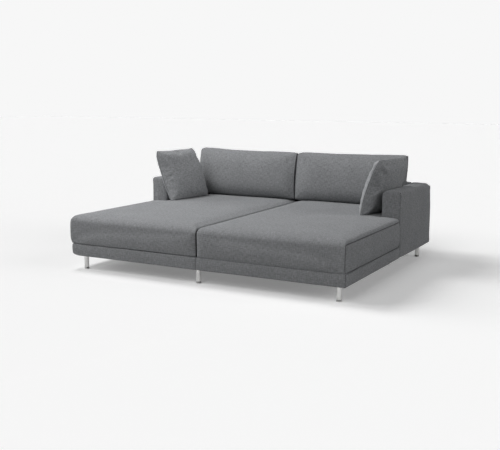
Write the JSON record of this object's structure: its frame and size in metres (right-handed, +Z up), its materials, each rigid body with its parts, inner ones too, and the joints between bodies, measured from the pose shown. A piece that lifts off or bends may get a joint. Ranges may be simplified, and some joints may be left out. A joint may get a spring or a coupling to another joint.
{
  "type": "modular sofa",
  "caption": "Low modular sofa of two chaise modules joined side by side, with arms, thick seat cushions, loose back cushions and throw pillows, on round metal legs.",
  "frame": {"origin": "on the floor, under the middle of the sofa's bounding box", "axes": "+X along the front, to the right as seen from in front; +Y from the front to the back; +Z up"},
  "size_m": [2.32, 1.895, 0.866],
  "materials": {
    "fabric": "fine heathered grey weave, matt",
    "pillow_fabric": "fine heathered grey weave, matt",
    "dust_cloth": "thin black non-woven cloth",
    "webbing": "elastic jute webbing",
    "timber": "sawn pine and plywood, unfinished",
    "foam": "cut upholstery foam",
    "fibre": "white polyester fibre",
    "leg_metal": "satin brushed metal",
    "link_steel": "zinc plated steel",
    "glide_plastic": "black moulded plastic"
  },
  "bodies": {
    "left_module": {"front_rail_left": "timber", "cross_rail_left": "timber", "back_rail_left": "timber", "inner_rail_left": "timber", "outer_rail_left": "timber", "arm_side_rail_left": "timber", "base_cover_left": "fabric", "webbing_left": "webbing", "dust_cover_left": "dust_cloth", "arm_frame_left": "timber", "arm_pad_left": "foam", "arm_cover_left": "fabric", "back_frame_left": "timber", "back_pad_left": "foam", "back_cover_left": "fabric", "leg_front_outer_left": "leg_metal", "glide_front_outer_left": "glide_plastic", "leg_rear_outer_left": "leg_metal", "glide_rear_outer_left": "glide_plastic", "leg_front_inner_left": "leg_metal", "glide_front_inner_left": "glide_plastic", "leg_rear_inner_left": "leg_metal", "glide_rear_inner_left": "glide_plastic", "link_plate_front": "link_steel", "link_plate_rear": "link_steel"},
    "right_module": {"front_rail_right": "timber", "cross_rail_right": "timber", "back_rail_right": "timber", "inner_rail_right": "timber", "outer_rail_right": "timber", "arm_side_rail_right": "timber", "base_cover_right": "fabric", "webbing_right": "webbing", "dust_cover_right": "dust_cloth", "arm_frame_right": "timber", "arm_pad_right": "foam", "arm_cover_right": "fabric", "back_frame_right": "timber", "back_pad_right": "foam", "back_cover_right": "fabric", "leg_front_outer_right": "leg_metal", "glide_front_outer_right": "glide_plastic", "leg_rear_outer_right": "leg_metal", "glide_rear_outer_right": "glide_plastic", "link_bush_front": "link_steel", "link_bush_rear": "link_steel"},
    "seat_cushion_left": {"seat_cushion_cover_left": "fabric", "seat_cushion_core_left": "foam"},
    "back_cushion_left": {"back_cushion_cover_left": "fabric", "back_cushion_fill_left": "fibre"},
    "pillow_left": {"pillow_cover_left": "pillow_fabric", "pillow_insert_left": "fibre"},
    "seat_cushion_right": {"seat_cushion_cover_right": "fabric", "seat_cushion_core_right": "foam"},
    "back_cushion_right": {"back_cushion_cover_right": "fabric", "back_cushion_fill_right": "fibre"},
    "pillow_right": {"pillow_cover_right": "pillow_fabric", "pillow_insert_right": "fibre"}
  },
  "joints": [
    {"name": "right_module_lift", "type": "slide", "parent": "left_module", "child": "right_module", "axis": [0, 0, 1], "range_m": [0, 0.06]},
    {"name": "seat_cushion_left_lift", "type": "slide", "parent": "left_module", "child": "seat_cushion_left", "axis": [0, 0, 1], "range_m": [0, 0.45]},
    {"name": "back_cushion_left_lift", "type": "slide", "parent": "seat_cushion_left", "child": "back_cushion_left", "axis": [0, 0, 1], "range_m": [0, 0.25]},
    {"name": "pillow_left_lift", "type": "slide", "parent": "seat_cushion_left", "child": "pillow_left", "axis": [0, 0, 1], "range_m": [0, 0.25]},
    {"name": "seat_cushion_right_lift", "type": "slide", "parent": "right_module", "child": "seat_cushion_right", "axis": [0, 0, 1], "range_m": [0, 0.45]},
    {"name": "back_cushion_right_lift", "type": "slide", "parent": "seat_cushion_right", "child": "back_cushion_right", "axis": [0, 0, 1], "range_m": [0, 0.25]},
    {"name": "pillow_right_lift", "type": "slide", "parent": "seat_cushion_right", "child": "pillow_right", "axis": [0, 0, 1], "range_m": [0, 0.25]}
  ]
}
